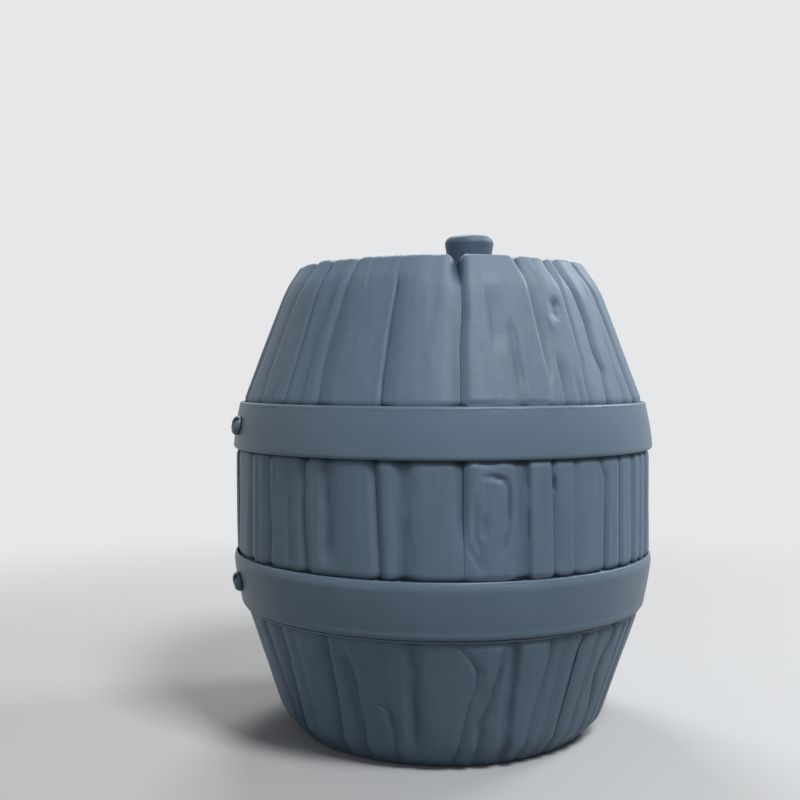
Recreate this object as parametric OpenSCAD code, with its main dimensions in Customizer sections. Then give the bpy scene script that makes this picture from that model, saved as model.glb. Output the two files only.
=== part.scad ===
// Small wooden cask: bevelled staves between two heads, two iron hoops lapped behind their screws,
// and a tapered stopper in the top head.
// The origin is the middle of the base, on the plane that the stave ends stand on, and +Z is up.
// The side that is seen first faces -Y. Angles round the cask start there and grow towards +X.

/* [Cask] */
// Height over the stave ends
cask_h = 477; // [450:1:520]
// Outside diameter of the straight belly
belly_d = 428; // [416:1:444]
// Height above the base at which the lower cone reaches the belly
lower_shoulder_h = 158; // [145:1:175]
// Depth below the top at which the upper cone reaches the belly
upper_shoulder_h = 159; // [150:1:175]
// Outside diameter of the stave ends at the top
top_end_d = 300; // [290:1:306]
// Outside diameter of the stave ends at the base
base_end_d = 300; // [290:1:306]
// Height of the bevel round the top end
top_bevel_h = 29; // [26:0.5:34]
// Outside diameter at the foot of the top bevel
top_bevel_d = 332; // [326:1:340]
// Height of the bevel round the base end
base_bevel_h = 27; // [25:0.5:32]
// Outside diameter at the head of the base bevel
base_bevel_d = 340; // [332:1:346]

/* [Staves] */
// Thickness of a stave
stave_t = 22; // [19:0.5:25]
// Rounding of the outer edge of the stave ends
end_round = 4.5; // [3:0.5:6]
// How far the long edges of a stave fall below its crest at the ends
edge_drop = 2.4; // [1.5:0.1:3]
// Depth of the deepest notch between the corners of two stave ends at the top
top_notch = 9.5; // [6:0.5:10]
// Depth of the notches between the corners of the stave ends at the base
base_notch = 2.5; // [1.5:0.5:4]
// How far the proudest stave stands out beyond the belly
proud = 1.2; // [0:0.1:1.6]
// Length over which a proud stave comes down to its seat under a hoop
proud_run = 8; // [5:1:14]
// Bevel on the inner edge of the stave ends
inner_bevel = 1; // [0.5:0.5:2]
// Depth of the croze, the groove that holds a head
croze_depth = 5; // [4:0.5:6]
// Angle of the first stave joint, round from the front
first_joint = -84; // [-86:0.5:-82]

/* [Heads] */
// Thickness of a head
head_t = 18; // [16:0.5:20]
// Depth of a head below the stave ends
chime = 6; // [4:0.5:8]
// Thickness of the tongue round a head
tongue_t = 7; // [5:0.5:8]
// Width of the bevel that runs down to the tongue
head_bevel_w = 20; // [12:1:26]
// Chamfer along the joints of the head boards
board_chamfer = 1; // [0.5:0.1:1.6]
// Diameter of the dowels between the head boards
dowel_d = 8; // [6:0.5:9]
// Length of the dowels
dowel_l = 30; // [24:1:34]

/* [Hoops] */
// Thickness of the hoop iron at its edges
hoop_t = 3.8; // [3.4:0.1:4]
// How much thicker the iron is at the middle of its width
hoop_crown = 0.9; // [0:0.1:1.2]
// Rounding of the outer edges of a hoop
hoop_round = 2.2; // [1.8:0.1:2.4]
// Depth of the upper hoop's top edge below the stave ends
upper_hoop_drop = 139; // [130:1:148]
// Width of the upper hoop
upper_hoop_w = 47; // [40:1:52]
// Height of the lower hoop's bottom edge above the base
lower_hoop_z = 129; // [120:1:138]
// Width of the lower hoop with its lip
lower_hoop_w = 56; // [48:1:60]
// Width of the thin lip under the lower hoop
lip_w = 3.4; // [2:0.1:5]
// Thickness of that lip
lip_t = 1.2; // [0.8:0.1:2]
// Length of the scarf where the ends of a hoop overlap
scarf_l = 32; // [28:1:36]
// Thickness of the hoop's outer end
outer_end_t = 2; // [1.9:0.1:2.2]
// Thickness of the hoop's inner end
inner_end_t = 1.5; // [1.4:0.1:1.7]

/* [Hoop screws] */
// Angle of the screws, round from the front
screw_angle = -70; // [-71:0.5:-68]
// Diameter of a screw head
screw_head_d = 19.5; // [14:0.5:22]
// Thickness of a screw head
screw_head_t = 6.5; // [4:0.5:8]
// Rounding of a screw head's rim
screw_head_round = 1.5; // [0.5:0.1:2]
// Width of the slot
slot_w = 2.8; // [1.6:0.1:3.6]
// Depth of the slot
slot_depth = 2.8; // [1.5:0.1:3.4]
// Lean of the slot from upright, towards the front
slot_lean = 40; // [0:5:90]
// Diameter of the shank
shank_d = 8; // [6:0.5:9]
// Depth of the shank in the stave
shank_grip = 14; // [10:0.5:16]

/* [Stopper] */
// Distance of the stopper from the middle of the head, towards the right
stopper_x = 29; // [0:1:50]
// Diameter of the stopper where it is widest
stopper_d = 51.6; // [46:0.2:54]
// Diameter of its lower end
stopper_end_d = 35; // [32:0.5:38]
// Length of the stopper
stopper_l = 63; // [58:1:70]
// Height of its top above the stave ends
stopper_stand = 35; // [30:1:38]
// Rounding of its top edge
stopper_round = 8; // [5:0.5:10]
// Height of the dome on its top
stopper_dome = 1.5; // [0.5:0.1:2]
// Chamfer at its lower end
stopper_chamfer = 1.5; // [0.5:0.1:2.5]

/* [Fits] */
// Gap between staves and hoops, and round a head in its croze
fit_gap = 0.3; // [0.2:0.05:0.5]
// Gap all round a dowel or a shank in its hole
bore_gap = 0.15; // [0.1:0.05:0.3]
// Gap all round the stopper in its hole
stopper_gap = 0.25; // [0.2:0.05:0.4]

/* [Hidden] */
$fn = 96;
// Overrun of every cut past the face that it cuts
over = 4;
// Steps in the round of an edge
round_steps = 6;
// Steps in the round of a hoop's edge, and across its crown
hoop_round_steps = 2;
crown_steps = 6;
// How far a stave's seat runs past the edges of its hoop
seat_run = 1.5;
// Clear space past the lower end of a dowel or a shank in its hole
end_space = 0.6;
// Width of the slit at the two free ends of a hoop
slit_w = 0.6;

// Widths of the staves, each a share of the sum, round from the first joint
width_shares = [
    8.5, 17, 10, 12.5, 20.7, 20.9, 20.9, 16, 9, 15, 11.5, 14.5,
    17, 13, 16, 18.5, 15, 12.5, 17, 15.5, 14, 16.5, 15, 13.5
];
// How proud each stave stands, as shares of the proudest one
proud_shares = [
    0, -0.7, 0.4, -0.5, 0.2, 0.4, 1, -0.3, -0.6, 0.3, 0.5, -0.2,
    0.6, -0.4, 0.3, -0.6, 0.5, 0, -0.5, 0.7, -0.3, 0.4, -0.6, 0.3
];
// Depth of the notch at each top joint, as shares of the deepest, from the first joint
notch_shares = [
    0.3, 0.4, 0.35, 0.4, 0.45, 0.2, 1, 0.48, 0.38, 0.42, 0.44, 0.3,
    0.35, 0.45, 0.25, 0.4, 0.5, 0.3, 0.35, 0.4, 0.25, 0.45, 0.35, 0.3
];
// Widths of the five boards of a head, as shares of the sum
board_shares = [1, 1.1, 1.25, 1.1, 1];
// Places of the two dowels along a joint, as shares of its half length
dowel_shares = [-0.55, 0.55];

wood_colour = [0.376, 0.455, 0.525];
head_colour = [0.345, 0.42, 0.49];
iron_colour = [0.33, 0.41, 0.475];
stopper_colour = [0.3, 0.375, 0.44];

stave_count = len(width_shares);
board_count = len(board_shares);
belly_r = belly_d / 2;
top_end_r = top_end_d / 2;
base_end_r = base_end_d / 2;
top_bevel_z = cask_h - top_bevel_h;
upper_hoop_z = cask_h - upper_hoop_drop - upper_hoop_w;
// A radius that lies outside everything
clear_r = belly_r + stave_t;

function total(list, n) = n <= 0 ? 0 : list[n - 1] + total(list, n - 1);
function between(a, b, z) = a[0] + (b[0] - a[0]) * (z - a[1]) / (b[1] - a[1]);
function flip(points) = [for (p = points) [p[1], p[0]]];

// Points of an arc round a centre, from one angle to another
function arc(centre, r, from, to, steps = round_steps) = [
    for (i = [0:steps])
        let (a = from + (to - from) * i / steps)
        centre + r * [cos(a), sin(a)]
];

// Shape of the cask, as [radius, height] points

// The ideal outline: two cones and a straight belly
cone_line = [
    [base_bevel_d / 2, base_bevel_h],
    [belly_r, lower_shoulder_h],
    [belly_r, cask_h - upper_shoulder_h],
    [top_bevel_d / 2, top_bevel_z]
];
function cone_r(z) = lookup(z, flip(cone_line));

// The two places on a stave where a hoop's edges bear
function seat_line(z, w) = [[cone_r(z), z], [cone_r(z + w), z + w]];
lower_seat = seat_line(lower_hoop_z, lower_hoop_w);
upper_seat = seat_line(upper_hoop_z, upper_hoop_w);
function on_seat(seat, z) = [between(seat[0], seat[1], z), z];
function seat_points(seat) = [
    on_seat(seat, seat[0][1] - seat_run),
    on_seat(seat, seat[1][1] + seat_run)
];

// The outline with a flat seat under each hoop
seated_line = concat(
    [cone_line[0]], seat_points(lower_seat), seat_points(upper_seat), [cone_line[3]]
);
// The same line, run on past both ends
last_point = len(seated_line) - 1;
long_line = concat(
    [[between(seated_line[0], seated_line[1], -over), -over]],
    seated_line,
    [[between(seated_line[last_point - 1], seated_line[last_point], cask_h + over), cask_h + over]]
);
function inner_r(z) = lookup(z, flip(long_line)) - stave_t;

// The outside of a stave that stands out by p, from the base up
function stave_outline(p) = concat(
    arc([base_end_r + p - end_round, end_round], end_round, -90, 0),
    [
        [cone_line[0][0] + p, base_bevel_h],
        proud_point(lower_seat[0][1] - seat_run - proud_run, p)
    ],
    seat_points(lower_seat),
    [
        proud_point(lower_seat[1][1] + seat_run + proud_run, p),
        proud_point(upper_seat[0][1] - seat_run - proud_run, p)
    ],
    seat_points(upper_seat),
    [
        proud_point(upper_seat[1][1] + seat_run + proud_run, p),
        [cone_line[3][0] + p, top_bevel_z]
    ],
    arc([top_end_r + p - end_round, cask_h - end_round], end_round, 0, 90)
);
function proud_point(z, p) = [cone_r(z) + p, z];

// Staves

function joint_angle(i) =
    first_joint + 360 * total(width_shares, i) / total(width_shares, stave_count);
// How far off the cask's axis the crown of a stave is turned, so that its edges fall away
function crown_shift(w) =
    let (half = top_end_r * sin(w / 2))
    top_end_r - 1 / (1 / top_end_r + 2 * edge_drop / pow(half, 2));
function turn_between(a, b) = abs((a - b + 540) % 360 - 180);

module sector(w, points) {
    rotate([0, 0, -w / 2]) rotate_extrude(angle = w) polygon(points);
}

// The wedge between two joints, with the hollow of the cask taken off its inside
module stave_wedge(w) {
    bottom = -over;
    top = cask_h + over;
    sector(w, concat(
        [
            [clear_r, bottom],
            [inner_r(0) + inner_bevel + over, bottom],
            [inner_r(inner_bevel), inner_bevel]
        ],
        [for (p = seated_line) [p[0] - stave_t, p[1]]],
        [
            [inner_r(cask_h - inner_bevel), cask_h - inner_bevel],
            [inner_r(cask_h) + inner_bevel + over, top],
            [clear_r, top]
        ]
    ));
}

// The rounded outside of a stave, turned about an axis of its own
module stave_crown(w, p) {
    shift = crown_shift(w);
    translate([shift, 0, 0]) rotate_extrude() polygon(concat(
        [[0, 0]],
        [for (q = stave_outline(p)) [q[0] - shift, q[1]]],
        [[0, cask_h]]
    ));
}

module croze(w, outer_z, side) {
    tongue_out = outer_z - side * ((head_t - tongue_t) / 2 - fit_gap);
    tongue_in = tongue_out - side * (tongue_t + 2 * fit_gap);
    floor_r = tongue_r(outer_z, side) + fit_gap;
    sector(w + over, [
        [floor_r - croze_depth - over, tongue_in],
        [floor_r, tongue_in],
        [floor_r, tongue_out],
        [floor_r - croze_depth - over, tongue_out]
    ]);
}

// A notch that takes the corners off two neighbouring stave ends
module corner_notch(turn, z, depth) {
    side = depth * sqrt(2);
    rotate([0, 0, turn]) translate([clear_r / 2, 0, z]) rotate([45, 0, 0])
        cube([clear_r, side, side], center = true);
}

module stave(i) {
    from = joint_angle(i);
    w = joint_angle(i + 1) - from;
    middle = from + w / 2;
    color(wood_colour) difference() {
        rotate([0, 0, middle - 90]) difference() {
            intersection() {
                stave_wedge(w);
                stave_crown(w, proud * proud_shares[i]);
            }
            croze(w, cask_h - chime, 1);
            croze(w, chime, -1);
            for (end = [0, 1]) {
                turn = (end - 1 / 2) * w;
                corner_notch(turn, 0, base_notch);
                corner_notch(turn, cask_h, top_notch * notch_shares[(i + end) % stave_count]);
            }
        }
        if (turn_between(middle, screw_angle) < w / 2 + shank_d / 2)
            for (hoop = [lower_hoop_spec, upper_hoop_spec])
                screw_place(hoop) shank_hole(bore_gap);
    }
}

// Heads

function tongue_r(outer_z, side) =
    inner_r(outer_z - side * head_t / 2) + croze_depth - fit_gap;

// Half of a head's section: flat faces, bevels, and the tongue that enters the croze
module head_disc(outer_z, side) {
    inner_z = outer_z - side * head_t;
    tongue_out = outer_z - side * (head_t - tongue_t) / 2;
    tongue_in = tongue_out - side * tongue_t;
    out_r = inner_r(tongue_out) - fit_gap;
    in_r = inner_r(tongue_in) - fit_gap;
    edge_r = tongue_r(outer_z, side);
    flat_r = out_r - head_bevel_w;
    rotate_extrude() polygon([
        [0, inner_z], [flat_r, inner_z], [in_r, tongue_in], [edge_r, tongue_in],
        [edge_r, tongue_out], [out_r, tongue_out], [flat_r, outer_z], [0, outer_z]
    ]);
}

function joint_y(k, outer_z, side) =
    let (r = tongue_r(outer_z, side) + over)
    -r + 2 * r * total(board_shares, k) / total(board_shares, board_count);

// A plank along X, chamfered on its outer face, that cuts one board out of a head
module board_block(k, outer_z, side) {
    y0 = joint_y(k, outer_z, side);
    y1 = joint_y(k + 1, outer_z, side);
    far_z = outer_z - side * (head_t + over);
    shoulder_z = outer_z - side * board_chamfer;
    past_z = outer_z + side * over;
    run = board_chamfer + over;
    rotate([90, 0, 90]) linear_extrude(height = 2 * clear_r, center = true) polygon([
        [y0, far_z], [y1, far_z], [y1, shoulder_z],
        [y1 - run, past_z], [y0 + run, past_z], [y0, shoulder_z]
    ]);
}

// All the dowels of a head, each grown by a gap
module dowel_rods(outer_z, side, gap, spare) {
    for (k = [1:board_count - 1]) {
        y = joint_y(k, outer_z, side);
        half = sqrt(pow(tongue_r(outer_z, side), 2) - pow(y, 2));
        for (share = dowel_shares)
            translate([share * half, y, outer_z - side * head_t / 2])
                rotate([90, 0, 0])
                    cylinder(d = dowel_d + 2 * gap, h = dowel_l + 2 * spare, center = true);
    }
}

module head_board(k, outer_z, side) {
    color(head_colour) difference() {
        intersection() {
            head_disc(outer_z, side);
            board_block(k, outer_z, side);
        }
        dowel_rods(outer_z, side, bore_gap, end_space);
        if (side > 0)
            stopper_hole();
    }
}

module head_dowels(outer_z, side) {
    color(stopper_colour) dowel_rods(outer_z, side, 0, 0);
}

// Hoops

// A hoop is [seat, width of the lip, thickness of the lip]
lower_hoop_spec = [lower_seat, lip_w, lip_t];
upper_hoop_spec = [upper_seat, 0, 0];

function hoop_inner(hoop, z) = between(hoop[0][0], hoop[0][1], z) + fit_gap;
function hoop_low(hoop) = hoop[0][0][1];
function hoop_high(hoop) = hoop[0][1][1];
// The outer face swells by the crown at the middle of the width
function hoop_outer(hoop, z) =
    let (low = hoop_low(hoop) + hoop[1], high = hoop_high(hoop))
    let (t = (2 * z - low - high) / (high - low))
    hoop_inner(hoop, z) + hoop_t + hoop_crown * (1 - t * t);
function hoop_middle(hoop) = (hoop_low(hoop) + hoop[1] + hoop_high(hoop)) / 2;
// The lean of the outer face, upwards where the hoop narrows to its top
function hoop_lean(hoop) =
    atan((hoop[0][0][0] - hoop[0][1][0]) / (hoop_high(hoop) - hoop_low(hoop)));

// Over a lip, the lower edge is rounded only as far in as the lip's face
function foot_round(hoop) = hoop[1] > 0 ? hoop_t - hoop[2] : hoop_round;

function hoop_face(hoop) =
    let (low = hoop_low(hoop) + hoop[1] + foot_round(hoop), high = hoop_high(hoop) - hoop_round)
    [for (i = [0:crown_steps]) let (z = low + (high - low) * i / crown_steps) [hoop_outer(hoop, z), z]];
function hoop_section(hoop) =
    let (face = hoop_face(hoop), low = hoop_low(hoop), high = hoop_high(hoop))
    let (foot = face[0], head = face[crown_steps])
    concat(
        [[hoop_inner(hoop, high), high], [hoop_inner(hoop, low), low]],
        hoop[1] > 0 ? lip_points(hoop) : [],
        arc([foot[0] - foot_round(hoop), foot[1]], foot_round(hoop), -90, 0, hoop_round_steps),
        [for (i = [1:crown_steps - 1]) face[i]],
        arc([head[0] - hoop_round, head[1]], hoop_round, 0, 90, hoop_round_steps)
    );
function lip_points(hoop) =
    let (low = hoop_low(hoop), bend = hoop[2] / 2)
    [
        [hoop_inner(hoop, low) + bend, low],
        [hoop_inner(hoop, low) + hoop[2], low + bend]
    ];

// The slit between the thinned ends of a hoop, one sliding under the other behind the screw
module hoop_scarf(hoop) {
    r = hoop_outer(hoop, hoop_middle(hoop));
    half = scarf_l / 2;
    sag = r - sqrt(pow(r, 2) - pow(half, 2));
    low = -sag - hoop_t - hoop_crown + inner_end_t;
    high = -sag - outer_end_t;
    floor_v = -sag - hoop_t - hoop_crown - over;
    screw_place(hoop) rotate([90, 0, 90])
        linear_extrude(height = 2 * (hoop_high(hoop) - hoop_low(hoop)), center = true) polygon([
            [-half - slit_w, over], [-half - slit_w, high - fit_gap],
            [half, low], [half, floor_v],
            [half + slit_w, floor_v], [half + slit_w, low + fit_gap],
            [-half, high], [-half, over]
        ]);
}

module hoop(hoop) {
    color(iron_colour) difference() {
        rotate_extrude() polygon(hoop_section(hoop));
        hoop_scarf(hoop);
        screw_place(hoop) shank_hole(fit_gap);
    }
}

// Hoop screws

// Puts +Z along the outward normal at the middle of a hoop, at the screw's angle
module screw_place(hoop) {
    z = hoop_middle(hoop);
    rotate([0, 0, screw_angle - 90]) translate([hoop_outer(hoop, z), 0, z])
        rotate([0, 90 - hoop_lean(hoop), 0]) children();
}

shank_l = hoop_t + hoop_crown + fit_gap + shank_grip;

module shank_hole(gap) {
    translate([0, 0, -shank_l - end_space])
        cylinder(d = shank_d + 2 * gap, h = shank_l + end_space + over);
}

module hoop_screw(hoop) {
    under = bore_gap;
    head_r = screw_head_d / 2;
    top = under + screw_head_t;
    color(iron_colour) screw_place(hoop) {
        difference() {
            rotate_extrude() polygon(concat(
                [[0, under], [head_r, under]],
                arc([head_r - screw_head_round, top - screw_head_round], screw_head_round, 0, 90),
                [[0, top]]
            ));
            rotate([0, 0, -slot_lean]) translate([0, 0, top - slot_depth / 2 + over / 2])
                cube([screw_head_d + over, slot_w, slot_depth + over], center = true);
        }
        translate([0, 0, -shank_l])
            cylinder(d = shank_d, h = shank_l + under + screw_head_t / 4);
    }
}

// Stopper

stopper_top_z = cask_h + stopper_stand;
stopper_low_z = stopper_top_z - stopper_l;
stopper_wide_z = stopper_top_z - stopper_dome - stopper_round;
stopper_side = [[stopper_end_d / 2, stopper_low_z], [stopper_d / 2, stopper_wide_z]];
function stopper_r(z) = between(stopper_side[0], stopper_side[1], z);

module stopper_hole() {
    outer_z = cask_h - chime + over;
    inner_z = cask_h - chime - head_t - over;
    translate([stopper_x, 0, inner_z]) cylinder(
        r1 = stopper_r(inner_z) + stopper_gap,
        r2 = stopper_r(outer_z) + stopper_gap,
        h = outer_z - inner_z
    );
}

module stopper() {
    chamfer_z = stopper_low_z + stopper_chamfer;
    wide_r = stopper_d / 2;
    color(stopper_colour) translate([stopper_x, 0, 0]) rotate_extrude() polygon(concat(
        [
            [0, stopper_low_z],
            [stopper_r(chamfer_z) - stopper_chamfer, stopper_low_z],
            [stopper_r(chamfer_z), chamfer_z]
        ],
        arc([wide_r - stopper_round, stopper_wide_z], stopper_round, 0, 90),
        [[0, stopper_top_z]]
    ));
}

// Names of the pieces, and the pieces themselves

function two_digits(n) = n < 10 ? str("0", n) : str(n);
function stave_name(i) = str("stave_", two_digits(i + 1));
function board_name(head, k) = str(head, "_board_", k + 1);

for (i = [0:stave_count - 1])
    stave(i);
for (k = [0:board_count - 1]) {
    head_board(k, cask_h - chime, 1);
    head_board(k, chime, -1);
}
head_dowels(cask_h - chime, 1);  // top_dowels
head_dowels(chime, -1);  // base_dowels
hoop(lower_hoop_spec);  // lower_hoop
hoop(upper_hoop_spec);  // upper_hoop
hoop_screw(lower_hoop_spec);  // lower_hoop_screw
hoop_screw(upper_hoop_spec);  // upper_hoop_screw
stopper();
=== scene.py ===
import math

import bpy
import numpy as np
from mathutils import Matrix, Vector


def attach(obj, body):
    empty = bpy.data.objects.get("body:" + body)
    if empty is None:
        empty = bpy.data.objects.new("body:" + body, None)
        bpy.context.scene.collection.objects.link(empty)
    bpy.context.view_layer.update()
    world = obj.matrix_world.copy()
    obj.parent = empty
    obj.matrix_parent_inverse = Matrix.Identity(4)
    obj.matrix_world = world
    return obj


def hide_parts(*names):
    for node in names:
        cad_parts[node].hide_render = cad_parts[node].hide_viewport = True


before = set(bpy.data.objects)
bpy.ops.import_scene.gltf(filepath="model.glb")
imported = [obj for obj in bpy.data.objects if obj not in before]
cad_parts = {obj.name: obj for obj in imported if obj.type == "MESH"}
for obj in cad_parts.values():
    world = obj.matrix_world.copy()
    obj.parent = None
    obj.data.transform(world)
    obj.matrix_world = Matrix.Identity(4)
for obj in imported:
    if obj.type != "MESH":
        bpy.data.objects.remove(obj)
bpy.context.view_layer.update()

# Staves.
# Twenty-four worn wooden planks, each a wedge of the round, straight over the belly and drawn in to both
# ends, with a croze inside each end for the heads. They stand edge to edge and only the hoops hold them.
# Wear has rounded them like pillows, with soft furrows along the grain and some edges left standing proud.
MM = 0.001
belly_r, stave_thick = 214, 22
# Distance between the lines of a stave's mesh, across the belly
stave_spacing = 1.35
stave_widths = [8.5, 17, 10, 12.5, 20.7, 20.9, 20.9, 16, 9, 15, 11.5, 14.5,
                17, 13, 16, 18.5, 15, 12.5, 17, 15.5, 14, 16.5, 15, 13.5]
stave_proud = [0, -0.7, 0.4, -0.5, 0.2, 0.4, 1, -0.3, -0.6, 0.3, 0.5, -0.2,
               0.6, -0.4, 0.3, -0.6, 0.5, 0, -0.5, 0.7, -0.3, 0.4, -0.6, 0.3]
stave_count = len(stave_widths)
joint_angles = [-84 + sum(stave_widths[:k]) for k in range(stave_count)]

# The outside of a stave as (radius, height), with its seats under the hoops. The inside runs along with it,
# and on to the base and the top as if the outside came to these rim radii there.
lower_seat = [(204.0, 127.5), (214.26, 186.5)]
upper_seat = [(214.24, 289.5), (206.38, 339.5)]
outside = [(166.7, 20), (169.8, 27), (172.6, 35), *lower_seat, *upper_seat,
           (168.9, 440), (165.6, 448), (160.9, 457)]
base_rim_r, top_rim_r = 170 - 27 * 0.3383, 155.2
top_end_r, base_end_r, cask_height = 150, 150, 477
# The grooves for the heads, as (lower side, upper side)
base_croze, top_croze, croze_depth = (11.2, 18.8), (458.2, 465.8), 5


def inside_r(z):
    """Radius of the hollow at a height."""
    rs = [base_rim_r] + [p[0] for p in outside] + [top_rim_r]
    zs = [0] + [p[1] for p in outside] + [cask_height]
    return float(np.interp(z, zs, rs)) - stave_thick


def round_corner(centre, radius, start, end, steps):
    """Points of a round, from one angle to another. Its radius may differ across and up."""
    across, up = radius if isinstance(radius, tuple) else (radius, radius)
    turns = np.radians(np.linspace(start, end, steps + 1))
    return [(centre[0] + across * math.cos(a), centre[1] + up * math.sin(a)) for a in turns]


def croze_line(low, high):
    """The square groove for a head, from its upper side to its lower."""
    bottom = inside_r((low + high) / 2) + croze_depth
    return [(inside_r(high), high), (bottom, high), (bottom, low), (inside_r(low), low)]


def evenly(points, spacing):
    """The same line with points at even spaces."""
    p = np.array(points, float)
    along = np.concatenate([[0], np.cumsum(np.hypot(*np.diff(p, axis=0).T))])
    s = np.linspace(0, along[-1], max(2, int(round(along[-1] / spacing)) + 1))
    return np.stack([np.interp(s, along, p[:, 0]), np.interp(s, along, p[:, 1])], 1)


def soften(line, reach):
    """Rounds the bends of a line off, and keeps its two ends."""
    padded = np.concatenate([np.repeat(line[:1], reach, 0), line, np.repeat(line[-1:], reach, 0)])
    kernel = np.hanning(2 * reach + 3)[1:-1]
    kernel /= kernel.sum()
    smooth = np.stack([np.convolve(padded[:, k], kernel, "valid") for k in range(line.shape[1])], 1)
    share = np.clip(np.minimum(np.arange(len(line)), np.arange(len(line))[::-1]) / reach, 0, 1)[:, None]
    return line * (1 - share) + smooth * share


def stave_section():
    """The outline of a stave from the side, once round: outside going up, then the inside going down.
    The third column is 1 where the surface is worked, and 0 inside the cask."""
    foot_round, head_round, inner_bevel, point_spacing = 3, 4.5, 2, 1.5
    foot = round_corner((base_end_r - foot_round, foot_round), foot_round, -90, -8, 8)
    head = round_corner((top_end_r - head_round, cask_height - head_round), head_round, 8, 90, 8)
    rise = [(inside_r(1) + inner_bevel, 0), *foot, *outside, *head,
            (inside_r(cask_height - 1) + inner_bevel, cask_height)]
    worked = soften(evenly(rise, point_spacing), 3)
    hidden = [(inside_r(cask_height - inner_bevel), cask_height - inner_bevel), *croze_line(*top_croze),
              *[(r - stave_thick, z) for r, z in outside[::-1]], *croze_line(*base_croze),
              (inside_r(inner_bevel), inner_bevel)]
    line = np.array([*map(tuple, worked), *hidden])
    return np.column_stack([line, [1] * len(worked) + [0] * len(hidden)])


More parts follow.
